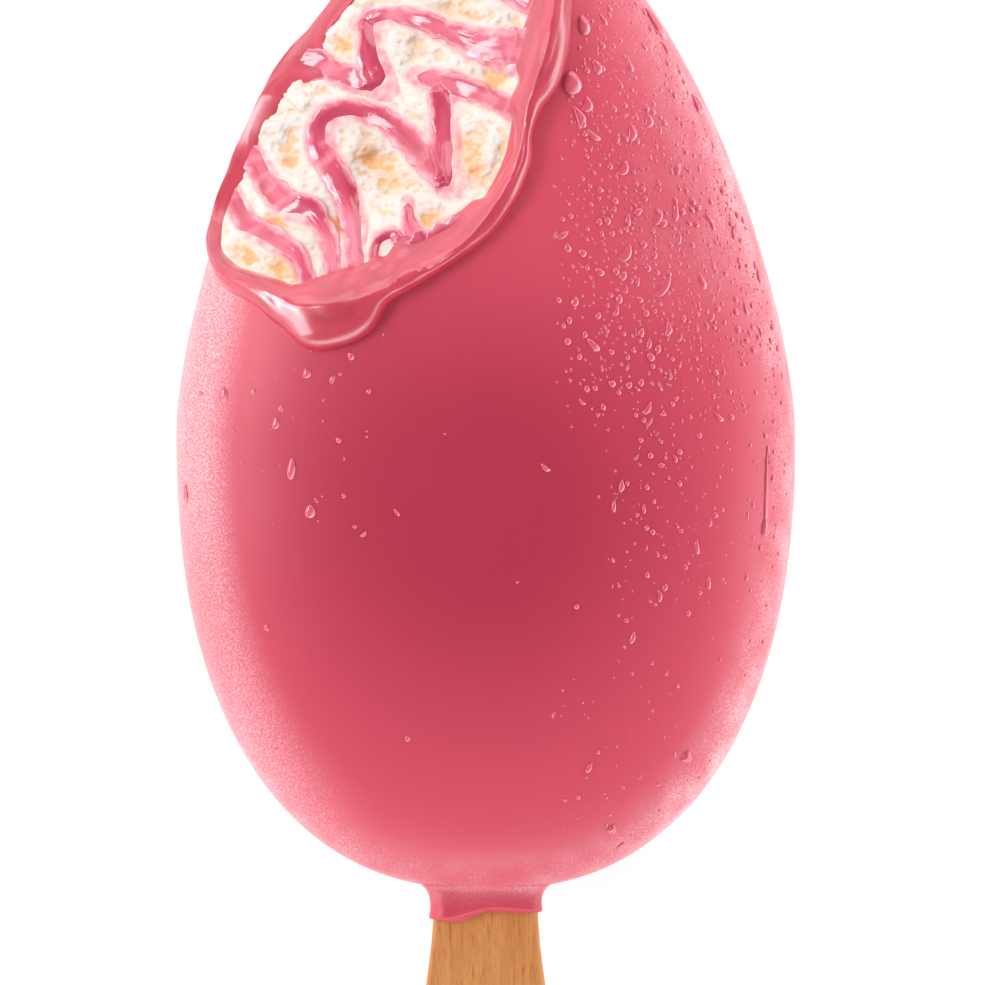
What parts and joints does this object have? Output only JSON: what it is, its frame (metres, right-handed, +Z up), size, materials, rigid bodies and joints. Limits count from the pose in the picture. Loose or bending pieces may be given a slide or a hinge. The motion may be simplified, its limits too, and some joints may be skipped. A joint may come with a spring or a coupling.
{
  "type": "ice pop",
  "caption": "Egg-shaped ice cream bar on a flared paddle stick, pink coating, bitten at the upper left to show vanilla ice cream veined with raspberry sauce inside a rolled sauce lip.",
  "frame": {"origin": "on the surface the bar lies on, under the middle of its whole length and width", "axes": "+Y from the round end of the stick to the tip of the bar, +X to the right as its front is seen with the tip up, +Z up out of the bitten front as the bar lies on its back"},
  "size_m": [0.06, 0.1512, 0.0279],
  "materials": {
    "coating": "frosted satin raspberry coating",
    "ice_cream": "torn vanilla ice cream",
    "lip_sauce": "glossy soft coating and sauce",
    "raspberry": "wet translucent raspberry sauce",
    "stick_wood": "smooth bare birch"
  },
  "bodies": {
    "root": {"coating": "coating", "ice_cream": "ice_cream", "sauce_lip": "lip_sauce", "raspberry_vein_upper": "raspberry", "raspberry_vein_middle": "raspberry", "raspberry_vein_left": "raspberry", "raspberry_vein_low": "raspberry", "raspberry_vein_curl": "raspberry", "raspberry_vein_hook": "raspberry", "raspberry_vein_tip": "raspberry", "stick": "stick_wood"}
  },
  "joints": []
}
